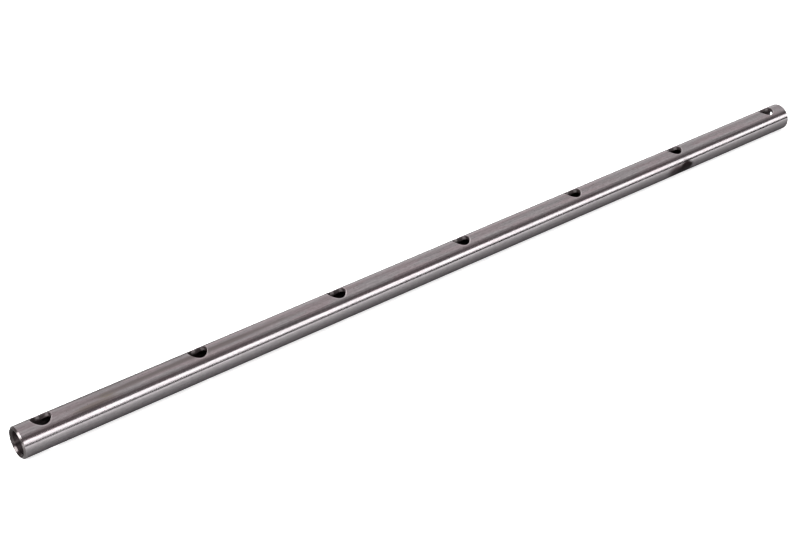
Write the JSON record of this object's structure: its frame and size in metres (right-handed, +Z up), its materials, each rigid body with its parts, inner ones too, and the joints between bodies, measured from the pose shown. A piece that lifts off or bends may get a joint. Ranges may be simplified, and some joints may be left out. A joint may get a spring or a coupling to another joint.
{
  "type": "rocker shaft",
  "caption": "Hollow ground steel shaft that an engine's rockers turn on, with chamfered cross holes for its hold-down bolts, an oil gallery from end to end and small oil feed holes.",
  "frame": {"origin": "on the shaft's axis at mid-length, where the middle bolt hole crosses it", "axes": "+X along the shaft, +Z up through the bolt holes, the way their bolts leave"},
  "size_m": [0.822, 0.025, 0.025],
  "materials": {
    "ground_steel": "ground bright, with fine lengthwise handling marks and faint brown oil stains"
  },
  "bodies": {
    "root": {"rocker_shaft": "ground_steel"}
  },
  "joints": []
}
